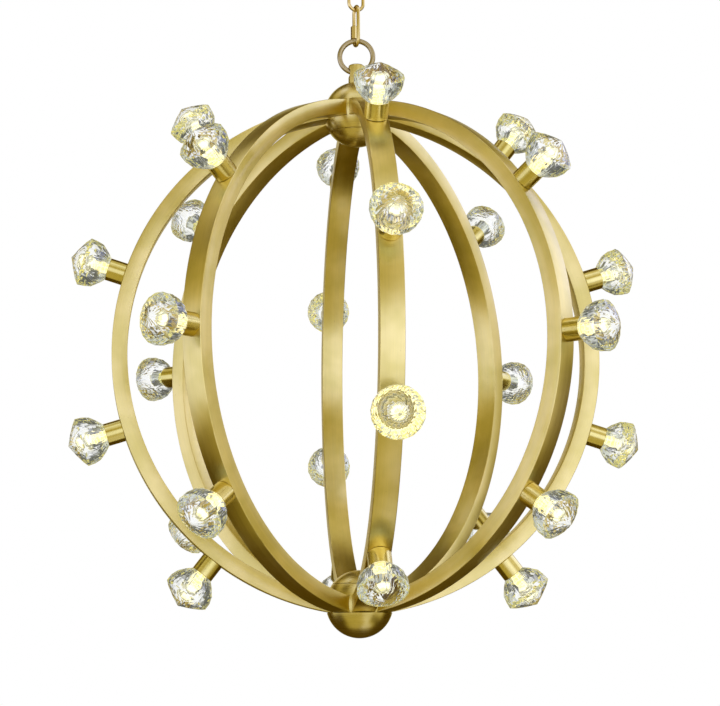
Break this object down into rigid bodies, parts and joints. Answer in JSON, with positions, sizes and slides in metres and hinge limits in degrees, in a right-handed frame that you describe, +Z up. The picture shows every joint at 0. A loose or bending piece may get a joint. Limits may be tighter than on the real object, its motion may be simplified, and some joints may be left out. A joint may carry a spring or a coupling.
{
  "type": "globe chandelier",
  "caption": "Open globe of bent brass arms between two ball hubs, set with faceted crystal lamps, on a ring, screw link, short chain and canopy.",
  "frame": {"origin": "on the ceiling plane, midway between the two mounting slots of the crossbar", "axes": "+Z up, -Y towards the front arm, +X along the crossbar to the right"},
  "size_m": [0.662, 0.662, 0.8902],
  "materials": {
    "arm_brass": "brushed along the arm, clear lacquer",
    "cup_brass": "turned and brushed, clear lacquer",
    "hub_brass": "satin, clear lacquer",
    "hanger_brass": "satin plated",
    "canopy_brass": "satin, clear lacquer",
    "turned_brass": "as turned",
    "zinc_steel": "zinc plated",
    "green_steel": "green earth screw",
    "porcelain": "glazed",
    "bulb": "warm glow behind frosted glass",
    "crystal": "cut and polished"
  },
  "bodies": {
    "ceiling_fitting": {"crossbar": "zinc_steel", "crossbar_locknut": "zinc_steel", "ground_screw": "green_steel", "canopy": "canopy_brass", "canopy_collar": "canopy_brass", "canopy_loop": "canopy_brass"},
    "first_link": {"chain_link_1": "hanger_brass"},
    "second_link": {"chain_link_2": "hanger_brass"},
    "third_link": {"chain_link_3": "hanger_brass"},
    "screw_link": {"quick_link": "hanger_brass"},
    "sleeve_nut": {"quick_link_nut": "hanger_brass"},
    "top_ring": {"hanging_ring": "hanger_brass"},
    "globe": {"eye_post": "hub_brass", "upper_hub_dome": "hub_brass", "upper_hub_body": "hub_brass", "upper_hub_cap": "hub_brass", "upper_hub_stem": "zinc_steel", "upper_stem_nuts": "zinc_steel", "upper_arm_screws": "zinc_steel", "upper_arm_plugs": "turned_brass", "arm_1": "arm_brass", "arm_2": "arm_brass", "arm_3": "arm_brass", "arm_4": "arm_brass", "arm_5": "arm_brass", "arm_6": "arm_brass", "arm_7": "arm_brass", "arm_8": "arm_brass", "lamp_cups_1": "cup_brass", "lamp_cups_2": "cup_brass", "lamp_cups_3": "cup_brass", "lamp_cups_4": "cup_brass", "lamp_cups_5": "cup_brass", "lamp_cups_6": "cup_brass", "lamp_cups_7": "cup_brass", "lamp_cups_8": "cup_brass", "crystals_1": "crystal", "crystals_2": "crystal", "crystals_3": "crystal", "crystals_4": "crystal", "crystals_5": "crystal", "crystals_6": "crystal", "crystals_7": "crystal", "crystals_8": "crystal", "arm_bushes": "turned_brass", "lampholders": "porcelain", "bulbs": "bulb", "crystal_rings": "turned_brass", "lower_hub_dome": "hub_brass", "lower_hub_body": "hub_brass", "lower_hub_cap": "hub_brass", "lower_hub_stem": "zinc_steel", "lower_stem_nuts": "zinc_steel", "lower_arm_screws": "zinc_steel", "lower_arm_plugs": "turned_brass"}
  },
  "joints": [
    {"name": "first_link_swing", "type": "hinge", "parent": "ceiling_fitting", "child": "first_link", "pos_m": [0, 0, -0.0596], "axis": [0.2215, -0.9751, 0], "range_deg": [-25, 25]},
    {"name": "second_link_swing", "type": "hinge", "parent": "first_link", "child": "second_link", "pos_m": [0, 0, -0.0888], "axis": [0.9751, 0.2215, 0], "range_deg": [-25, 25]},
    {"name": "third_link_swing", "type": "hinge", "parent": "second_link", "child": "third_link", "pos_m": [0, 0, -0.1185], "axis": [-0.2215, 0.9751, 0], "range_deg": [-25, 25]},
    {"name": "screw_link_swing", "type": "hinge", "parent": "third_link", "child": "screw_link", "pos_m": [0, 0, -0.1482], "axis": [-0.9751, -0.2215, 0], "range_deg": [-25, 25]},
    {"name": "sleeve_nut_travel", "type": "slide", "parent": "screw_link", "child": "sleeve_nut", "axis": [0, 0, 1], "range_m": [0, 0.0125]},
    {"name": "ring_swing", "type": "hinge", "parent": "screw_link", "child": "top_ring", "pos_m": [0, 0, -0.1916], "axis": [0.2215, -0.9751, 0], "range_deg": [-25, 25]},
    {"name": "globe_swing", "type": "hinge", "parent": "top_ring", "child": "globe", "pos_m": [0, 0, -0.2256], "axis": [0.9921, -0.1253, 0], "range_deg": [-25, 25]}
  ]
}
